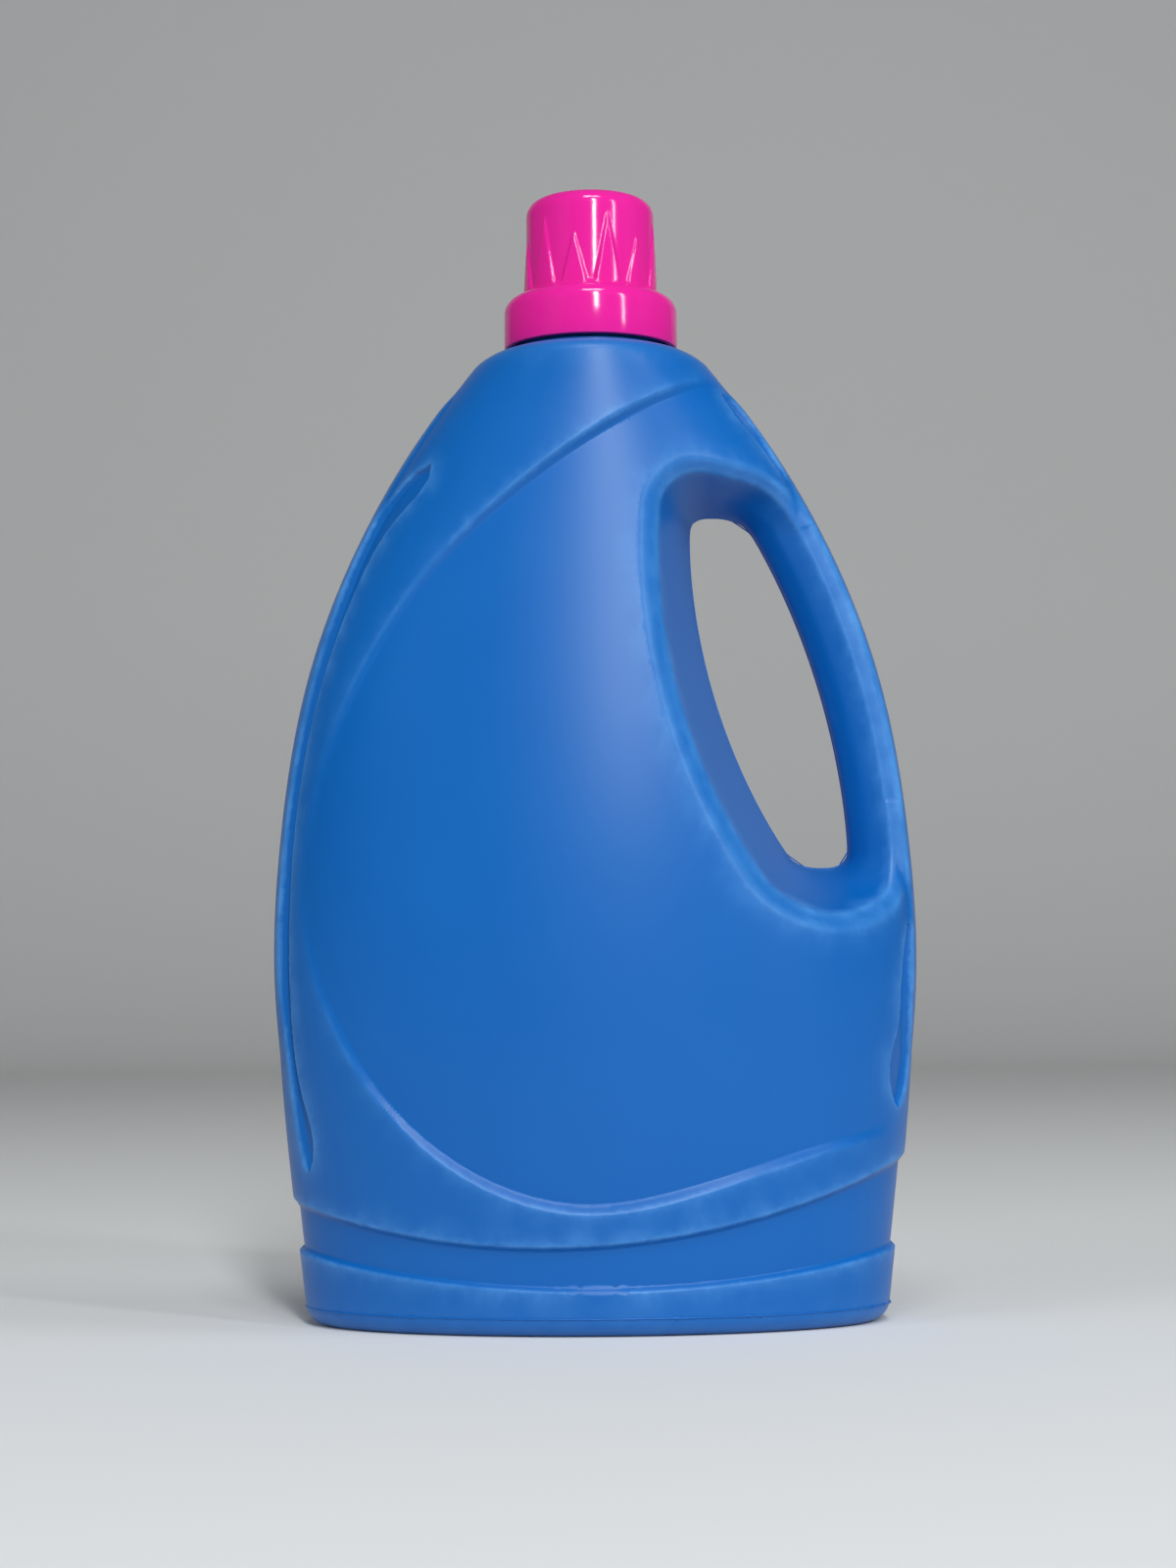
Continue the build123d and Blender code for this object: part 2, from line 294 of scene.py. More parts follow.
def window_gap(points):
    """Gap to the window, and to the grip's wall alone; the walls flare to both faces, most over the grip."""
    flat, side = points[:, [0, 2]], np.abs(points[:, 1])
    flare = window_draft * side
    grip = grip_flare(side)
    lean = (grip_flare(side + nudge) - grip) / nudge
    left = np.linalg.norm(flat - left_circle[0], axis=1) - left_circle[1] - flare
    right = np.linalg.norm(flat - right_circle[0], axis=1) - right_circle[1] - grip
    high = flat[:, 1] - window_left[0, 1] - window_end_drafts[0] * side
    low = window_left[2, 1] - flat[:, 1] - window_end_drafts[1] * side
    ends = round_join(high, low, end_round) - end_blend / 2
    corner = window_corner - grip_land / 2
    on_panel = round_join(left, ends, corner + flare)
    over_grip = round_join(right, ends, corner + grip_corner * grip + grip_spare)
    gap = soft_max(on_panel, over_grip, end_blend)
    on_grip = ease(0.5 + (right - np.maximum(left, ends)) / grip_blend)
    return gap / (1 + on_grip * (np.sqrt(1 + lean**2) - 1)), right


hold_foot, hold_head, hold_lean, hold_drop = 136.0, (56.0, 209.5), 0.37, 0.35
hold_foot_step, hold_head_step = 0.6, 0.9
hold_wall_lap, hold_wall_step, hold_spine_lap, hold_spine_step = 5, 3, 1.5, 1.2


def hold_share(points, past_wall):
    """How much of the hold shows: the stretch of the handle that a second mould block shapes."""
    x, y, z = points.T
    head = hold_head[1] + hold_lean * (x - hold_head[0])
    ends = ramp((z - hold_foot) / hold_foot_step) * ramp((head - z) / hold_head_step)
    on_wall = ramp((past_wall + hold_wall_lap) / hold_wall_step)
    return ends * on_wall * ramp((np.abs(y) - spine_half + hold_spine_lap) / hold_spine_step)


print("window arcs", round(left_circle[1]), "and", round(right_circle[1]), "mm")

# %% [markdown]
# ## One gap for the whole skin
# The pieces of the form are joined in the order in which a mould maker would cut them: oval, panel, spines,
# flutes, band, rounds at the shoulder and the base, and last the window with its lip. Any point can then be
# moved onto the skin, however the mesh is divided, and the gap's slope gives its exact normal.

# %% The skin's gap
base_round, shoulder_round, base_rise, base_land = 5.0, 4.5, 3.0, 12.0
base_half_width, base_half_depth = width_at(np.zeros(1))[0], depth_at(np.zeros(1))[0]
flute_side, no_flute = (0.75, 0.5), 99.0
slope_reach, least_slope, furthest_move = 0.02, 0.05, 1.5


def skin_gap(points):
    """Gap to the finished skin below the neck."""
    x, y, z = points.T
    level = np.clip(z, 0, shoulder_height)
    width, depth = width_at(level), depth_at(level)
    body = oval_gap(points, width, depth)

    panel = ramp(0.5 - outline_gap(points[:, [0, 2]], panel_outline) / panel_step)
    floor = oval_gap(points, width + panel_fade, depth - panel_drop)
    body = body + panel * np.maximum(floor - body, 0)

    spine = ramp(0.5 + (spine_half - np.abs(y)) / spine_step)
    spine = spine * ease((z - spine_span[0]) / spine_fades[0]) * ease((spine_span[1] - z) / spine_fades[1])
    raised = oval_gap(points, width + spine_rises(level), depth)
    body = body - spine * np.maximum(body - raised, 0)

    near_side = (np.abs(y) < flute_side[1] * half_depth) & (np.abs(x) > flute_side[0] * width)
    side = np.stack([np.abs(y[near_side]), z[near_side]], axis=1)
    on_left = x[near_side] < 0
    flute_off = np.full(len(side), no_flute)
    flute_off[on_left] = outline_gap(side[on_left], left_flute)
    foot_off = outline_gap(side[~on_left], right_foot_flute)
    head_off = outline_gap(side[~on_left], right_head_flute)
    flute_off[~on_left] = np.minimum(foot_off, head_off)
    flute = np.zeros(len(points))
    flute[near_side] = ramp(0.5 - flute_off / flute_step)
    sunk = oval_gap(points, width - flute_drop, depth - flute_drop)
    body = body + flute * np.maximum(sunk - body, 0)

    share = x / band_reach
    foot, belt = (
        shoulder_height * (mid + share * (right - left) / 2 + share**2 * ((left + right) / 2 - mid))
        for left, mid, right in (foot_shares, belt_shares)
    )
    band = ramp(0.5 + (z - foot) / band_step) * ramp(0.5 + (belt - z) / band_step)
    sunk = oval_gap(points, width - band_drop, depth - band_drop)
    body = body + band * np.maximum(sunk - body, 0)

    above, below = np.clip(level + 1, 0, shoulder_height), np.clip(level - 1, 0, shoulder_height)
    lean_x, lean_y = (width_at(above) - width_at(below)) / 2, (depth_at(above) - depth_at(below)) / 2
    turn = (x / width) ** 2 / ((x / width) ** 2 + (y / depth) ** 2 + 1e-9)
    body = body / np.sqrt(1 + (turn * lean_x + (1 - turn) * lean_y) ** 2)

    body = round_join(body, z - shoulder_height, shoulder_round)
    inward = -oval_gap(points, base_half_width - base_land, base_half_depth - base_land)
    body = round_join(body, base_rise * ease(inward / base_land) - z, base_round)
    window, past_wall = window_gap(points)
    body = body + hold_drop * hold_share(points, past_wall)
    body = round_join(body, (body - window) / math.sqrt(2) + lip_cut, lip_round)
    return round_join(body, -window, lip_edge)


def skin_slope(points, gap):
    """How the gap grows along X, Y and Z."""
    moves = np.eye(3) * slope_reach
    return np.stack([(skin_gap(points + move) - gap) / slope_reach for move in moves], axis=1)


def settle(points, times):
    """Moves points along the slope of the gap until they lie on the skin."""
    for _ in range(times):
        gap = skin_gap(points)
        slope = skin_slope(points, gap)
        move = gap / np.maximum((slope**2).sum(1), least_slope)
        points = points - np.clip(move, -furthest_move, furthest_move)[:, None] * slope
    return points


def skin_normals(points):
    """The direction in which the gap grows fastest."""
    slope = skin_slope(points, skin_gap(points))
    return slope / np.linalg.norm(slope, axis=1)[:, None]


front_spot = np.array([[0.0, -half_depth, widest]])
print("the panel lies", round(float(skin_gap(front_spot)[0]), 2), "mm under the oval")

# %% [markdown]
# ## The blown skin
# A blown bottle is one thin skin that the air has pressed into the mould. Here it starts as a copy of the
# bottle's solid with the neck taken away, which parts the outer skin from the inner one. The outer skin is
# remeshed to even squares, refined along the steps, and settled onto the form. A subdivision surface could
# round the steps too, but it would pull the skin off its true sizes.

# %% Outer and inner skin
def mesh_of(bm, name):
    """A mesh with what a bmesh holds, which is freed."""
    mesh = bpy.data.meshes.new(name)
    bm.to_mesh(mesh)
    bm.free()
    return mesh


def face_out(bm, smooth=True):
    """Turns every face of a closed shape outwards, and shades it smooth or flat."""
    bmesh.ops.recalc_face_normals(bm, faces=bm.faces)
    if bm.calc_volume(signed=True) < 0:
        bmesh.ops.reverse_faces(bm, faces=bm.faces)
    for face in bm.faces:
        face.smooth = smooth


def open_edges(bm):
    """How many edges have a face on one side only."""
    return sum(edge.is_boundary for edge in bm.edges)


def positions(bm):
    """Where the vertices lie, in millimetres."""
    return np.array([vert.co for vert in bm.verts]) / MM


def place(bm, points):
    """Moves the vertices to points in millimetres."""
    for vert, point in zip(bm.verts, points * MM):
        vert.co = point


bore_radius, flat_radius, weld = 17.6, 24.5, 0.002
level_normal, flat_under, bore_under, bore_spare, neck_over = 0.999, 2, 3, 0.2, 0.01
copy = bmesh.new()
copy.from_mesh(frame["nodes"]["bottle"].data)
bmesh.ops.remove_doubles(copy, verts=copy.verts, dist=weld * MM)
neck_faces = []
for face in copy.faces:
    middle = face.calc_center_median() / MM
    out, up = middle.xy.length, middle.z - shoulder_height
    flat = abs(face.normal.z) > level_normal and up > -flat_under and out < flat_radius
    in_bore = up > -bore_under and out < bore_radius + bore_spare
    if flat or in_bore or up > neck_over:
        neck_faces.append(face)
bmesh.ops.delete(copy, geom=neck_faces, context="FACES")
copy.verts.ensure_lookup_table()
start = max(copy.verts, key=lambda vert: vert.co.x)
outer, front = {start}, [start]
while front:
    front = [edge.other_vert(vert) for vert in front for edge in vert.link_edges]
    front = [vert for vert in set(front) if vert not in outer]
    outer.update(front)
inner = copy.copy()
outer_numbers = {vert.index for vert in outer}
inner.verts.ensure_lookup_table()
bmesh.ops.delete(copy, geom=[vert for vert in copy.verts if vert not in outer], context="VERTS")
bmesh.ops.delete(inner, geom=[vert for vert in inner.verts if vert.index in outer_numbers], context="VERTS")
rim = [edge for edge in copy.edges if edge.is_boundary]
bmesh.ops.edgeloop_fill(copy, edges=rim)
print("outer skin", len(copy.faces), "faces, rim", len(rim), "; inner skin", len(inner.faces), "faces")

# %% [markdown]
# ## Even squares, finer where the skin bends
# The voxel remesh gives squares of one size, too coarse for the steps. Edges over which the form turns, or
# whose middle lies off it, are divided in three passes, and each pass asks for more than the one before.
# Dividing every square instead would take ten times as many.

# %% Even squares
def with_modifier(mesh, kind, **settings):
    """The mesh that a modifier makes of a mesh."""
    draft = bpy.data.objects.new("draft", mesh)
    show(draft)
    modifier = draft.modifiers.new(kind, kind)
    for key, value in settings.items():
        setattr(modifier, key, value)
    made = bpy.data.meshes.new_from_object(draft.evaluated_get(bpy.context.evaluated_depsgraph_get()))
    bpy.data.objects.remove(draft)
    return made


def bent_edges(bm, points, sharpest, furthest, shortest):
    """Edges over which the form turns by more than an angle, or whose middle lies off it."""
    pairs = np.array([[vert.index for vert in edge.verts] for edge in bm.edges])
    normals = skin_normals(points)
    turn = (normals[pairs[:, 0]] * normals[pairs[:, 1]]).sum(1) < math.cos(math.radians(sharpest))
    off = np.abs(skin_gap(points[pairs].mean(1))) > furthest
    long = np.linalg.norm(points[pairs[:, 0]] - points[pairs[:, 1]], axis=1) > shortest
    return [edge for edge, marked in zip(bm.edges, (turn | off) & long) if marked]


def relax(bm, times):
    """Evens the squares out and settles them again."""
    bmesh.ops.smooth_vert(bm, verts=bm.verts, factor=0.5, use_axis_x=True, use_axis_y=True, use_axis_z=True)
    place(bm, settle(positions(bm), times))


square = 3.0
skin = bmesh.new()
skin.from_mesh(with_modifier(mesh_of(copy, "outer_draft"), "REMESH", mode="VOXEL", voxel_size=square * MM))
place(skin, settle(positions(skin), 3))
print("even squares", len(skin.faces))

# %% Three finer passes
# Each pass: the sharpest turn in degrees, the furthest gap at an edge's middle and the shortest edge in mm.
passes = ((10.0, 0.05, 1.6), (13.0, 0.06, 0.9), (30.0, 0.11, 0.6))
for sharpest, furthest, shortest in passes:
    relax(skin, 2)
    skin.verts.index_update()
    bent = bent_edges(skin, positions(skin), sharpest, furthest, shortest)
    bends = {face for edge in bent for face in edge.link_faces}
    edges = list({edge for face in bends for edge in face.edges})
    bmesh.ops.subdivide_edges(skin, edges=edges, cuts=1, use_grid_fill=True)
    place(skin, settle(positions(skin), 2))
    print("refined", len(edges), "edges to", len(skin.faces), "faces")
relax(skin, 3)
left_over = np.abs(skin_gap(positions(skin)))
print("skin off the form by", round(float(left_over.max()), 3), "mm at most")

# %% [markdown]
# ## Neck
# The neck carries the thread and seals against the insert, so a real mould turns it true to size. Half its
# section is drawn and spun about the axis, which keeps it exactly round. A screw modifier would do the
# same, but spin leaves a mesh that can be joined to the skin at once.

# %% Neck
def ring_points(centre, radius, start, end, count):
    """Points along a round, in the plane of the section, from one angle to another in degrees."""
    angles = np.radians(np.linspace(start, end, count))
    return [(centre[0] + radius * math.cos(angle), centre[1] + radius * math.sin(angle)) for angle in angles]


def turned(section, steps):
    """A section of (radius, height) points in millimetres, spun about the axis."""
    bm = bmesh.new()
    verts = [bm.verts.new((radius * MM, 0, height * MM)) for radius, height in section]
    edges = [bm.edges.new(pair) for pair in zip(verts, verts[1:])]
    bmesh.ops.spin(
        bm, geom=verts + edges, cent=(0, 0, 0), axis=(0, 0, 1), angle=math.tau, steps=steps, use_merge=True
    )
    bmesh.ops.remove_doubles(bm, verts=bm.verts, dist=turned_weld * MM)
    return bm


turned_weld, neck_steps = 0.01, 128
neck_radius, bead_radius, neck_top, mouth_radius = 19.4, 21.5, 269.2, 22.6
foot_round, bead_round, bead_up, neck_round, neck_up = 0.5, 0.6, 0.7, 0.8, 2.1
rim_round, rim_inner_round, mouth_lap, bore_lap, mouth_depth, mouth_weld = 0.4, 0.3, 0.2, 1, 0.3, 0.1
neck_section = (
    [(mouth_radius - mouth_lap, shoulder_height)]
    + ring_points((bead_radius + foot_round, shoulder_height + foot_round), foot_round, 270, 180, 5)
    + ring_points((bead_radius - bead_round, shoulder_height + bead_up), bead_round, 0, 90, 6)
    + ring_points((neck_radius + neck_round, shoulder_height + neck_up), neck_round, 270, 180, 6)
    + ring_points((neck_radius - rim_round, neck_top - rim_round), rim_round, 0, 90, 5)
    + ring_points((bore_radius + rim_inner_round, neck_top - rim_inner_round), rim_inner_round, 90, 180, 4)
    + [(bore_radius, shoulder_height - bore_lap)]
)
neck = turned(neck_section, neck_steps)
print("neck", len(neck.faces), "faces, open edges", open_edges(neck))

# %% [markdown]
# ## Mouth and lining
# Under the neck the outer skin gets a round mouth. The lining is the bottle's inside, which shows only
# through the mouth, so the solid's own inner skin serves once it has been thinned out. Where the window's
# softer ends would come through it, it is pushed back to leave the plastic its thickness.

# %% Mouth
mouth = []
for face in skin.faces:
    middle = face.calc_center_median() / MM
    if middle.z > shoulder_height - mouth_depth and middle.xy.length < mouth_radius:
        mouth.append(face)
bmesh.ops.delete(skin, geom=mouth, context="FACES")
for vert in skin.verts:
    if vert.is_boundary:
        vert.co.xy = vert.co.xy.normalized() * mouth_radius * MM
        vert.co.z = shoulder_height * MM
bmesh.ops.remove_doubles(skin, verts=[vert for vert in skin.verts if vert.is_boundary], dist=mouth_weld * MM)
bmesh.ops.triangulate(skin, faces=[face for face in skin.faces if len(face.verts) > 4])
skin_count = len(skin.verts)
skin_points = positions(skin)
print("mouth of", len(mouth), "faces taken out of the skin")

# %% Lining
least_wall, lining_top, lining_share, lining_edge, lining_move = 0.8, 240.0, 0.22, 3.0, 1.5
lining = bmesh.new()
lining.from_mesh(with_modifier(mesh_of(inner, "inner"), "DECIMATE", ratio=lining_share))
for _ in range(4):
    points = positions(lining)
    below = points[:, 2] < lining_top
    thin = (skin_gap(points) > -least_wall) & below
    long_edges = [edge for edge in lining.edges if edge.calc_length() > lining_edge * MM]
    pairs = np.array([[vert.index for vert in edge.verts] for edge in long_edges])
    thin_middle = (skin_gap(points[pairs].mean(1)) > -least_wall) & below[pairs[:, 0]]
    chosen = thin_middle | thin[pairs].any(1)
    edges = [edge for edge, marked in zip(long_edges, chosen) if marked]
    bmesh.ops.subdivide_edges(lining, edges=edges, cuts=1)
    bmesh.ops.triangulate(lining, faces=lining.faces)
    lining.verts.index_update()
    lining.verts.ensure_lookup_table()
points = positions(lining)
for _ in range(6):
    over = np.where(points[:, 2] < lining_top, np.maximum(skin_gap(points) + least_wall, 0), 0)
    points = points - np.minimum(over, lining_move)[:, None] * skin_normals(points)
place(lining, points)
print("lining", len(lining.faces), "triangles")

# %% [markdown]
# ## One closed wall
# The neck's outer foot is bridged to the outer skin and its inner foot to the lining, which closes the wall
# all round. The form's own normals are laid on the skin, so the shading shows no squares. Each vertex also
# notes how much the form bends there, so that the finish can paint convex edges paler: partly rubbed wear,
# partly painted highlight along the steps.

# %% The wall
rim_depth = 0.5
wall = bmesh.new()
for piece in (mesh_of(skin, "skin"), mesh_of(neck, "neck"), mesh_of(lining, "lining")):
    wall.from_mesh(piece)
rims = [edge for edge in wall.edges if edge.is_boundary]
upper = [edge for edge in rims if edge.verts[0].co.z > (shoulder_height - rim_depth) * MM]
lower = [edge for edge in rims if edge not in upper]
for pair in (upper, lower):
    bmesh.ops.bridge_loops(wall, edges=pair)
face_out(wall)
triangles = sum(len(face.verts) - 2 for face in wall.faces)
print("wall", triangles, "triangles, open edges", open_edges(wall))
bottle = bpy.data.objects.new("bottle_shell", mesh_of(wall, "bottle_shell"))
show(bottle)

# %% True normals, and edges for painted highlight and wear
highlight_and_wear_rounds = 3
normals = np.array([tuple(vert.normal) for vert in bottle.data.vertices])
normals[:skin_count] = skin_normals(skin_points)
bottle.data.normals_split_custom_set_from_vertices(normals.tolist())
# The bend at each vertex, smoothed, is the mask for paler edges: partly rubbed wear, partly painted
# highlight.
bend = sum(skin_gap(skin_points + way) for axis in np.eye(3) for way in (axis, -axis))
highlight_and_wear_share = np.zeros(len(normals))
highlight_and_wear_share[:skin_count] = np.clip(bend, -1, 1)
links = np.array([edge.vertices[:] for edge in bottle.data.edges])
for _ in range(highlight_and_wear_rounds):
    total, count = highlight_and_wear_share.copy(), np.ones(len(highlight_and_wear_share))
    for near, far in (links.T, links.T[::-1]):
        np.add.at(total, near, highlight_and_wear_share[far])
        np.add.at(count, near, 1)
    highlight_and_wear_share = total / count
bottle.data.attributes.new("edge", "FLOAT", "POINT").data.foreach_set("value", highlight_and_wear_share)
print("edges: bend from", bend.min().round(2), "to", bend.max().round(2), "per mm")
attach(bottle, "bottle_body")
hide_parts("bottle")

# %% [markdown]
# ## Seams
# The two mould halves leave a fine bead where they part: up both narrow sides, round the window, and along
# the base, where the soft tube was pinched shut. The base insert leaves another, ragged one just above the
# floor. A curve with a round section is the plain tool for such a bead, since each of its points can have
# its own thickness. The points are settled on the skin first, so that half of the bead stands out.

# %% Beads along the parting lines
def bead(name, paths, radius):
    """One mesh of thin round beads along paths, each with its points, thickness shares and closedness."""
    curve = bpy.data.curves.new(name, "CURVE")
    curve.dimensions = "3D"
    curve.bevel_depth, curve.bevel_resolution, curve.use_fill_caps = radius * MM, 1, True
    for points, thick, closed in paths:
        spline = curve.splines.new("POLY")
        spline.points.add(len(points) - 1)
        spline.use_cyclic_u = closed
        for knot, point, share in zip(spline.points, points * MM, thick):
            knot.co, knot.radius = (*point, 1.0), share
    draft = bpy.data.objects.new(name, curve)
    show(draft)
    mesh = bpy.data.meshes.new_from_object(draft.evaluated_get(bpy.context.evaluated_depsgraph_get()))
    bpy.data.objects.remove(draft)
    bm = bmesh.new()
    bm.from_mesh(mesh)
    bmesh.ops.remove_doubles(bm, verts=bm.verts, dist=bead_weld * MM)
    face_out(bm)
    print(name, len(bm.faces), "faces, open edges", open_edges(bm))
    return new_piece(name, mesh_of(bm, name), "bottle_body")


def new_piece(name, mesh, body):
    """An object that is put into the scene and rides with a body."""
    piece = bpy.data.objects.new(name, mesh)
    show(piece)
    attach(piece, body)
    return piece


def tapered(count):
    """Full thickness that runs out at both ends."""
    step = np.arange(count)
    return ease(np.minimum(step, step[::-1]) / taper_steps) + taper_least


def along_arc(circle, points, count):
    """Points on a circle from the first to the last of three points."""
    (x, z), radius = circle
    first, last = (math.atan2(point[1] - z, point[0] - x) for point in (points[0], points[-1]))
    if abs(last - first) > math.pi:
        last += math.copysign(math.tau, first - last)
    angles = np.linspace(first, last, count)
    return np.stack([x + radius * np.cos(angles), 0 * angles, z + radius * np.sin(angles)], axis=1)


bead_weld, taper_steps, taper_least = 0.001, 12, 0.05
seam_radius, pinch_radius, flash_radius = 0.2, 0.5, 0.26
print("beads of", seam_radius, "to", pinch_radius, "mm radius")

# %% Parting seam
seam_levels, arc_steps, end_steps, end_lap = np.linspace(7.0, 254.0, 180), 70, 20, 3
paths = []
for way in (-1, 1):
    side = np.stack([way * width_at(seam_levels), 0 * seam_levels, seam_levels], axis=1)
    paths.append((settle(side, 5), tapered(len(side)), False))
left_line = along_arc(left_circle, window_left, arc_steps)
right_line = along_arc(right_circle, window_right, arc_steps)
foot_line = np.linspace(left_line[-1], right_line[0], end_steps)
head_line = np.linspace(right_line[-1], left_line[0], end_steps)
inner_lines = [line[end_lap:-end_lap] for line in (foot_line, right_line, head_line)]
window_line = settle(np.vstack([left_line[:-end_lap], *inner_lines]), 8)
paths.append((window_line, np.ones(len(window_line)), True))
parting = bead("parting_seam", paths, seam_radius)

# %% Pinch-off and flash of the base
pinch_half, pinch_steps = 54.0, 60
pinch_reach = np.linspace(-pinch_half, pinch_half, pinch_steps)
pinch = np.stack([pinch_reach, 0 * pinch_reach, 0 * pinch_reach + base_rise], axis=1)
pinch_off = bead("base_pinch_off", [(settle(pinch, 4), tapered(len(pinch)), False)], pinch_radius)
flash_level, flash_steps, flash_seed = 4.8, 480, 5
flash_least, flash_spread, nick_size, nick_from = 0.75, 0.5, 0.9, 0.94
turns = np.linspace(0, math.tau, flash_steps, endpoint=False)
at_flash = np.full(len(turns), flash_level)
flash = np.stack([width_at(at_flash) * np.cos(turns), depth_at(at_flash) * np.sin(turns), at_flash], axis=1)
ragged = np.random.default_rng(flash_seed).uniform(0, 1, (len(turns), 2))
ragged = flash_least + flash_spread * ragged[:, 0] + nick_size * (ragged[:, 1] > nick_from)
base_flash = bead("base_flash", [(settle(flash, 5), ragged, True)], flash_radius)

# %% [markdown]
# ## Thread
# The cap is screwed on with a blunt ridge on the neck and one in the collar. A small section is drawn once
# and spin turns it about the axis while it climbs by one pitch for each turn. The ridge is then drawn in
# at both ends, as a mould maker runs a thread out. The same function makes both threads, one inwards.

# %% Thread
pitch, thread_steps, thread_sink, thread_runout = 4.0, 96, 0.2, 0.12
thread_root, thread_crest = 1.0, 0.4


def thread(name, body, wall_radius, rise, foot, turns, start):
    """A helical ridge on a wall, its rise outwards or inwards, that runs out at both ends."""
    sink = -thread_sink if rise > 0 else thread_sink
    bm = bmesh.new()
    section = ((sink, -thread_root), (rise, -thread_crest), (rise, thread_crest), (sink, thread_root))
    verts = [bm.verts.new(((wall_radius + out) * MM, 0, (foot + up) * MM)) for out, up in section]
    face = bm.faces.new(verts)
    bmesh.ops.rotate(bm, verts=verts, cent=(0, 0, 0), matrix=Matrix.Rotation(math.tau * start, 3, "Z"))
    bmesh.ops.spin(
        bm, geom=[face], cent=(0, 0, 0), axis=(0, 0, 1), dvec=(0, 0, pitch / thread_steps * MM),
        angle=math.tau * turns, steps=round(thread_steps * turns), use_duplicate=False,
    )
    points = positions(bm)
    spread = np.hypot(points[:, 0], points[:, 1])
    round_share = (np.arctan2(points[:, 1], points[:, 0]) / math.tau - start) % 1
    gone = round_share + np.round((points[:, 2] - foot) / pitch - round_share)
    share = ease(np.minimum(gone, turns - gone) / thread_runout)
    root = wall_radius + sink
    points[:, :2] *= ((root + (spread - root) * share) / spread)[:, None]
    place(bm, points)
    face_out(bm, smooth=False)
    print(name, len(bm.faces), "faces, open edges", open_edges(bm))
    return new_piece(name, mesh_of(bm, name), body)


thread_rise, neck_thread_foot, neck_thread_turns, neck_thread_start = 1.1, 261.4, 1.4, 0.0
neck_thread = thread(
    "neck_thread", "bottle_body", neck_radius, thread_rise,
    neck_thread_foot, neck_thread_turns, neck_thread_start,
)

# %% [markdown]
# ## Dosing cap
# The dosing cap is one injection moulding: a smooth collar below, which hides the thread, and a measuring
# cup above, which the hand turns. It is round, so its section is spun like the neck's, with the gate mark of
# the moulding in the middle of its top. The section runs up the outside and down the inside, so the wall
# is closed and has the solid's thickness.

# %% Cap
collar_radius, collar_bore, collar_foot, collar_top = 23.3, 21.6, 259.2, 273.4
cup_radius, cap_top, cup_round, collar_round = 17.25, 300.0, 4.5, 4.5
cup_inner, cap_ceiling, cap_step = 15.65, 298.4, 271.8
bore_edge, collar_edge, cup_foot_round, ceiling_round, step_round = 0.3, 0.5, 0.9, 1.2, 0.4
step_land, cap_steps, cup_rows = 18.0, 360, 66
gate_mark = ((9.0, 0.0), (3.4, 0.0), (3.1, 0.3), (1.1, 0.35), (0.8, 0.1), (0.0, 0.05))
cup_levels = np.linspace(collar_top + cup_foot_round, cap_top - cup_round, cup_rows)
cap_section = (
    ring_points((collar_bore + bore_edge, collar_foot + bore_edge), bore_edge, 180, 270, 4)
    + ring_points((collar_radius - collar_edge, collar_foot + collar_edge), collar_edge, 270, 360, 5)
    + ring_points((collar_radius - collar_round, collar_top - collar_round), collar_round, 0, 90, 14)
    + ring_points((cup_radius + cup_foot_round, collar_top + cup_foot_round), cup_foot_round, 270, 180, 6)
    + [(cup_radius, level) for level in cup_levels[1:-1]]
    + ring_points((cup_radius - cup_round, cap_top - cup_round), cup_round, 0, 90, 14)
    + [(radius, cap_top - drop) for radius, drop in gate_mark]
)
cap_inside = (
    [(0.0, cap_ceiling), (8.0, cap_ceiling)]
    + ring_points((cup_inner - ceiling_round, cap_ceiling - ceiling_round), ceiling_round, 90, 0, 6)
    + [(cup_inner, level) for level in np.linspace(cap_ceiling - 3, cap_step + bore_edge, 8)]
    + [(cup_inner + bore_edge, cap_step), (step_land, cap_step)]
    + ring_points((collar_bore - step_round, cap_step - step_round), step_round, 90, 0, 4)
    + [(collar_bore, level) for level in np.linspace(cap_step - 2, collar_foot + bore_edge, 8)]
)
cap_bm = turned(cap_section + cap_inside, cap_steps)
print("cap turned,", len(cap_bm.faces), "faces")

# %% [markdown]
# ## Flutes of the cup
# Pointed flutes, tall and short by turns, give the fingers hold. Each is raised most at its foot and runs
# out in a point. The cup already has fine rings of vertices, so they are pushed out under each flute. That
# keeps the wall in one piece, which twelve separate wedges would not.

# %% Flutes
flute_rise, flute_half, flute_turn, flute_soft, flute_pitch, flute_taper = 0.85, 3.7, 15.6, 0.55, 30, 0.55
cup_height, skirt_top, skirt_fade, cup_lap, cup_edge = 26.6, 1.8, 1.2, 0.01, 0.5
flute_reaches = (0.74 * cup_height, 0.54 * cup_height)
points = positions(cap_bm)
spread, up = np.hypot(points[:, 0], points[:, 1]), points[:, 2] - collar_top
on_cup = (up > -cup_lap) & (spread > cup_radius - cup_round) & (points[:, 2] < cap_top - cup_edge)
turn = np.degrees(np.arctan2(points[:, 0], -points[:, 1])) - flute_turn
number = np.round(turn / flute_pitch)
across = np.radians(turn - flute_pitch * number) * spread
reach = np.where(number % 2 == 0, *flute_reaches)
share = np.clip(up / reach, 0, 1)
edge_gap = flute_half * (1 - share) - np.abs(across)
raise_by = flute_rise * (1 - flute_taper * share) * ramp(0.5 + edge_gap / flute_soft) * (share < 1)
foot = flute_rise * ease((skirt_top - up) / skirt_fade)
raise_by = np.where(on_cup, np.maximum(raise_by, foot), 0)
points[:, :2] *= (1 + raise_by / np.maximum(spread, 1))[:, None]
place(cap_bm, points)
face_out(cap_bm)
print("cap", len(cap_bm.faces), "faces, open edges", open_edges(cap_bm))
cap = bpy.data.objects.new("cap_shell", mesh_of(cap_bm, "cap_shell"))
show(cap)
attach(cap, "cap")
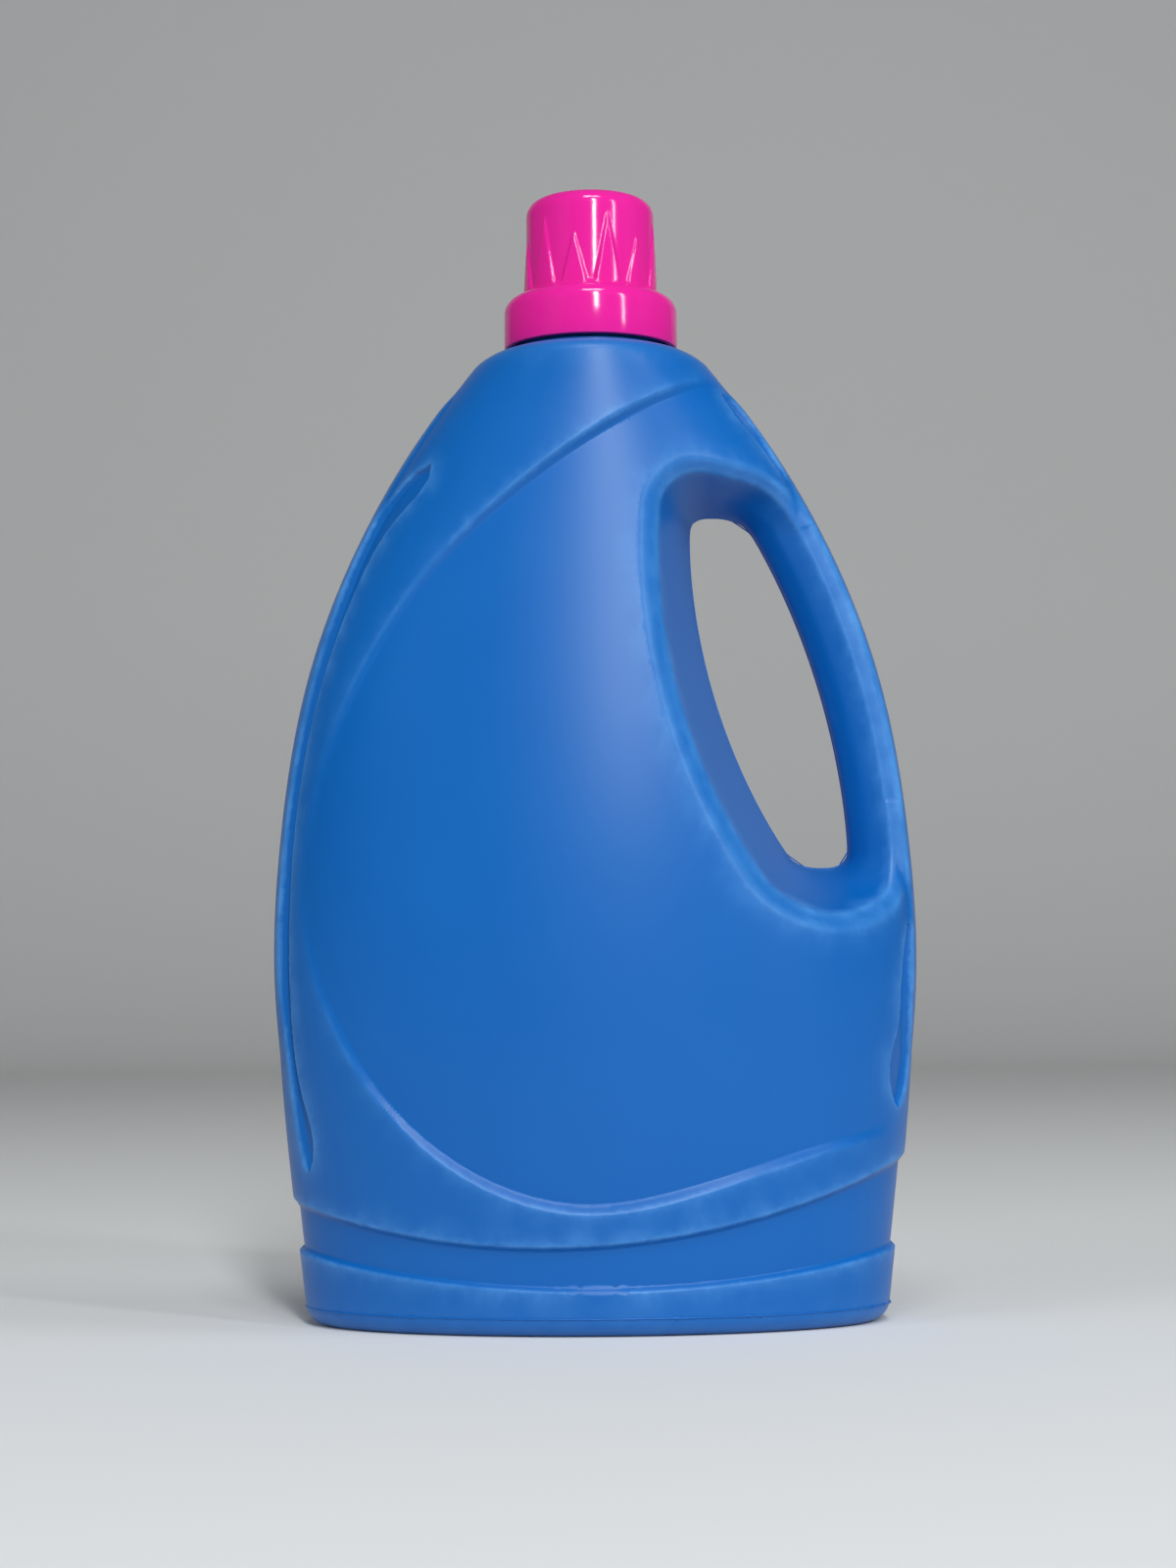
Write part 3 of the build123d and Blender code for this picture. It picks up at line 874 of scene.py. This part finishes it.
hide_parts("dosing_cap")
cap_thread_foot, cap_thread_turns, cap_thread_start = 263.4, 1.25, -0.25
cap_thread = thread(
    "cap_thread", "cap", collar_bore, -thread_rise,
    cap_thread_foot, cap_thread_turns, cap_thread_start,
)

# %% [markdown]
# ## Finishes
# Three kinds of plastic are left to make. Each is the Principled shader, fed by noises whose spots are given
# in real millimetres, so that a close view finds grain and a far view finds a slow drift. Image textures
# could carry the same marks, but every piece would then need an unwrap and a picture beside this file.

# %% Colours and nodes
def colour(code):
    """A colour written as sRGB hex, turned to linear."""
    parts = [int(code[at : at + 2], 16) / 255 for at in (1, 3, 5)]
    parts = [part / 12.92 if part <= 0.04045 else ((part + 0.055) / 1.055) ** 2.4 for part in parts]
    return (*parts, 1.0)


def node(tree, kind, inputs=None, **settings):
    """Adds a node, with its settings, and its inputs as values or as links."""
    made = tree.nodes.new(kind)
    for key, value in settings.items():
        setattr(made, key, value)
    for key, value in (inputs or {}).items():
        if isinstance(value, bpy.types.NodeSocket):
            tree.links.new(value, made.inputs[key])
        else:
            made.inputs[key].default_value = value
    return made


def finish_of(name):
    """A new material, with its nodes and its shader."""
    material = bpy.data.materials.new(name)
    material.use_nodes = True
    tree = material.node_tree
    return material, tree, tree.nodes["Principled BSDF"]


def cover(pieces, material):
    """Gives pieces a finish."""
    for piece in pieces:
        piece.data.materials.append(material)
    print(material.name, "of", len(material.node_tree.nodes), "nodes, on", len(pieces), "pieces")


# The third, paler blue is painted on convex edges: partly rubbed wear, partly painted highlight.
blue, light_blue, highlight_and_wear_blue = colour("#005AA8"), colour("#0462B2"), colour("#5FA2E2")
deep_pink, light_pink = colour("#E21B90"), colour("#E82398")
print("blue in linear light", [round(part, 3) for part in blue[:3]])

# %% [markdown]
# ## The blue of the bottle
# Blown polyethylene takes the blasted face of its mould, so it is satin, with soft lights and a fine grain.
# Its blue drifts a little, and its edges are painted paler: partly rubbed wear where hands touch, partly a
# painted highlight along the steps. A wide noise gives the drift, a middling one breaks up the pale edges,
# and the finest one is the grain, as bump. Real dents of that size would take millions of faces.

# %% Blown polyethylene
# It gives the eye a deep satin blue: broad soft lights, a slow drift and edges painted pale, partly as rubbed
# wear and partly as painted highlight. The grain of a blasted mould is too fine to show, so it is drawn
# nearly a millimetre wide.
blue_cloud, blue_wear_and_highlight_spots, blue_grain = 60 * MM, 7 * MM, 0.9 * MM
blue_depth, blue_bump = 0.05 * MM, 0.12
blue_rough, blue_index, blue_shine = (0.34, 0.40), 1.53, 0.33
hdpe, tree, shader = finish_of("hdpe_satin_blue")
where = node(tree, "ShaderNodeTexCoord").outputs["Object"]
cloud = node(tree, "ShaderNodeTexNoise", {"Vector": where, "Scale": 1 / blue_cloud, "Detail": 2.0})
wear_and_highlight_spots = node(tree, "ShaderNodeTexNoise", {"Vector": where, "Scale": 1 / blue_wear_and_highlight_spots, "Detail": 4.0})
grain = node(tree, "ShaderNodeTexNoise", {"Vector": where, "Scale": 1 / blue_grain, "Detail": 3.0})
# The edge attribute, broken up by noise, paints convex edges paler: partly rubbed wear, partly painted
# highlight.
edge = node(tree, "ShaderNodeAttribute", attribute_name="edge").outputs["Fac"]
highlight_and_wear = node(tree, "ShaderNodeMath", {0: edge, 1: wear_and_highlight_spots.outputs["Fac"]}, operation="MULTIPLY", use_clamp=True)
tint = node(tree, "ShaderNodeMix", {0: cloud.outputs["Fac"], 6: blue, 7: light_blue}, data_type="RGBA")
pale = node(tree, "ShaderNodeMix", {0: highlight_and_wear.outputs[0], 6: tint.outputs[2], 7: highlight_and_wear_blue}, data_type="RGBA")
limits = {"To Min": blue_rough[0], "To Max": blue_rough[1]}
gloss = node(tree, "ShaderNodeMapRange", {"Value": cloud.outputs["Fac"], **limits})
relief = {"Strength": blue_bump, "Distance": blue_depth}
bump = node(tree, "ShaderNodeBump", {"Height": grain.outputs["Fac"], **relief})
tree.links.new(pale.outputs[2], shader.inputs["Base Color"])
tree.links.new(gloss.outputs["Result"], shader.inputs["Roughness"])
tree.links.new(bump.outputs["Normal"], shader.inputs["Normal"])
shader.inputs["IOR"].default_value = blue_index
shader.inputs["Specular IOR Level"].default_value = blue_shine
cover((bottle, parting, pinch_off, base_flash, neck_thread), hdpe)

# %% [markdown]
# ## The pink of the cap
# Polypropylene from a polished mould is glossy and mirrors a lamp as a narrow strip. No moulding is polished
# quite evenly, so a fine noise lets the roughness waver, and the strip's edge with it. A bump would break
# the strip up, which looks like orange peel rather than like polish.

# %% Glossy polypropylene
# It gives the eye a bright pink with narrow, nearly sharp lights.
pink_cloud, pink_grain = 25 * MM, 1.5 * MM
pink_rough, pink_index = (0.09, 0.14), 1.49
pink, tree, shader = finish_of("polypropylene_gloss_pink")
where = node(tree, "ShaderNodeTexCoord").outputs["Object"]
cloud = node(tree, "ShaderNodeTexNoise", {"Vector": where, "Scale": 1 / pink_cloud, "Detail": 2.0})
grain = node(tree, "ShaderNodeTexNoise", {"Vector": where, "Scale": 1 / pink_grain, "Detail": 2.0})
tint = node(tree, "ShaderNodeMix", {0: cloud.outputs["Fac"], 6: deep_pink, 7: light_pink}, data_type="RGBA")
limits = {"To Min": pink_rough[0], "To Max": pink_rough[1]}
gloss = node(tree, "ShaderNodeMapRange", {"Value": grain.outputs["Fac"], **limits})
tree.links.new(tint.outputs[2], shader.inputs["Base Color"])
tree.links.new(gloss.outputs["Result"], shader.inputs["Roughness"])
shader.inputs["IOR"].default_value = pink_index
cover((cap, cap_thread), pink)

# %% [markdown]
# ## The whites under the cap
# The pouring insert and the sealing ring show only when the cap is off. Their solids already have all their
# shape, so they keep their own meshes and get a finish alone. One loop makes both, since only the white
# and the roughness differ.

# %% Insert and sealing ring
# The insert gives the eye a milky white with a faint shine, and the foamed ring a dull one with none.
white_grain, white_depth, white_bump = 1.0 * MM, 0.05 * MM, 0.1
white_parts = (
    ("pour_spout", "polypropylene_natural_white", "#EDEEEE", 0.4),
    ("seal_ring", "polyethylene_foam_white", "#E6E6E2", 0.8),
)
for name, finish, code, rough in white_parts:
    white, tree, shader = finish_of(finish)
    where = node(tree, "ShaderNodeTexCoord").outputs["Object"]
    grain = node(tree, "ShaderNodeTexNoise", {"Vector": where, "Scale": 1 / white_grain, "Detail": 3.0})
    relief = {"Strength": white_bump, "Distance": white_depth}
    bump = node(tree, "ShaderNodeBump", {"Height": grain.outputs["Fac"], **relief})
    tree.links.new(bump.outputs["Normal"], shader.inputs["Normal"])
    shader.inputs["Base Color"].default_value = colour(code)
    shader.inputs["Roughness"].default_value = rough
    solid = frame["nodes"][name]
    solid.data.materials.clear()
    cover((solid,), white)

# %% [markdown]
# ## Studio
# The bottle stands on a sheet of pale paper that sweeps up behind it, as in a small studio. A floor and a
# wall would meet in a line behind the bottle, and the sweep hides it. The paper has no shine, because
# seen from behind it would mirror the lamps as white.

# %% Floor and backdrop
floor_front, floor_back, floor_half, sweep_radius, wall_top = -0.95, 2.4, 3.0, 0.6, 3.0
floor_section = [(floor_front, 0.0), (floor_back, 0.0)]
for angle in np.radians(np.arange(10, 91, 10)):
    rise = sweep_radius - sweep_radius * math.cos(angle)
    floor_section.append((floor_back + sweep_radius * math.sin(angle), rise))
floor_section.append((floor_back + sweep_radius, wall_top))
sweep = bmesh.new()
line = [sweep.verts.new((-floor_half, y, z)) for y, z in floor_section]
edges = [sweep.edges.new(pair) for pair in zip(line, line[1:])]
made = bmesh.ops.extrude_edge_only(sweep, edges=edges)["geom"]
far_side = [item for item in made if isinstance(item, bmesh.types.BMVert)]
bmesh.ops.translate(sweep, verts=far_side, vec=(2 * floor_half, 0, 0))
bmesh.ops.recalc_face_normals(sweep, faces=sweep.faces)
for face in sweep.faces:
    face.smooth = True
backdrop = bpy.data.objects.new("backdrop", mesh_of(sweep, "backdrop"))
show(backdrop)

# The paper gives the eye a quiet, faintly warm white without any lights of its own.
paper_white, paper_rough, paper_shine = colour("#E7E3E1"), 0.9, 0.0
paper, tree, shader = finish_of("backdrop_paper")
shader.inputs["Base Color"].default_value = paper_white
shader.inputs["Roughness"].default_value = paper_rough
shader.inputs["Specular IOR Level"].default_value = paper_shine
cover((backdrop,), paper)
print("floor", 2 * floor_half, "m wide")

# %% [markdown]
# ## Lights
# A glossy round thing shows every lamp as a strip, so only narrow ones may be mirrored: the key in front, a
# strip at the right and one overhead. Two wide lamps at the sides lift the shade and are kept out of the
# mirror. One big lamp would be simpler, but it would flatten the steps of the panel and the foot.

# %% Lights
daylight, lamp_aim = (0.9, 0.97, 1.0), Vector((0, 0, 0.15))
sky_colour, sky_strength = (0.9, 0.95, 1.0, 1.0), 0.10
world = bpy.data.worlds.new("studio")
bpy.context.scene.world = world
world.use_nodes = True
sky = world.node_tree.nodes["Background"]
sky.inputs["Color"].default_value = sky_colour
sky.inputs["Strength"].default_value = sky_strength


def softbox(name, spot, size, watts, mirrored):
    """A soft rectangular light that looks at the middle of the bottle."""
    light = bpy.data.lights.new(name, "AREA")
    light.shape, light.size, light.size_y = "RECTANGLE", *size
    light.energy, light.color = watts, daylight
    lamp = bpy.data.objects.new(name, light)
    lamp.location = spot
    lamp.visible_glossy = mirrored
    lamp.rotation_euler = (lamp_aim - Vector(spot)).to_track_quat("-Z", "Y").to_euler()
    show(lamp)


# Each lamp: where it stands and its width and height in metres, its watts, and whether it is mirrored.
lamps = (
    ("key", (0.28, -2.04, 1.29), (0.2, 1.2), 29, True),
    ("right_strip", (1.5, -1.56, 1.05), (0.14, 1.2), 10, True),
    ("right", (2.4, -0.7, 1.25), (1.0, 1.6), 17, False),
    ("fill", (-2.0, -1.6, 1.05), (1.2, 1.6), 15, False),
    ("top", (0.1, -1.5, 2.65), (1.0, 0.6), 24, True),
)
for lamp in lamps:
    softbox(*lamp)
print(len(lamps), "lamps of", sum(lamp[3] for lamp in lamps), "W in all")

# %% [markdown]
# ## Camera
# The camera looks a little upwards from a low stand close in front, as in the photograph, and hangs
# slightly askew. Tilt and roll are two turns, one after the other. A camera that tracks the bottle would
# need no angles, but it would lose both.

# %% Camera
lens_length, sensor_width = 67.5, 36.0
camera_spot, camera_tilt, camera_roll = (-0.0016, -0.784, 0.0875), 3.98, -0.42
lens = bpy.data.cameras.new("camera")
lens.lens, lens.sensor_width = lens_length, sensor_width
camera = bpy.data.objects.new("camera", lens)
camera.location = camera_spot
tilted = Matrix.Rotation(math.radians(90 + camera_tilt), 3, "X")
rolled = Matrix.Rotation(math.radians(camera_roll), 3, "Z")
camera.rotation_euler = (tilted @ rolled).to_euler()
show(camera)
bpy.context.scene.camera = camera
bpy.context.scene.view_settings.view_transform = "Standard"
print("camera at", camera_spot, "m, tilted up by", camera_tilt, "degrees")
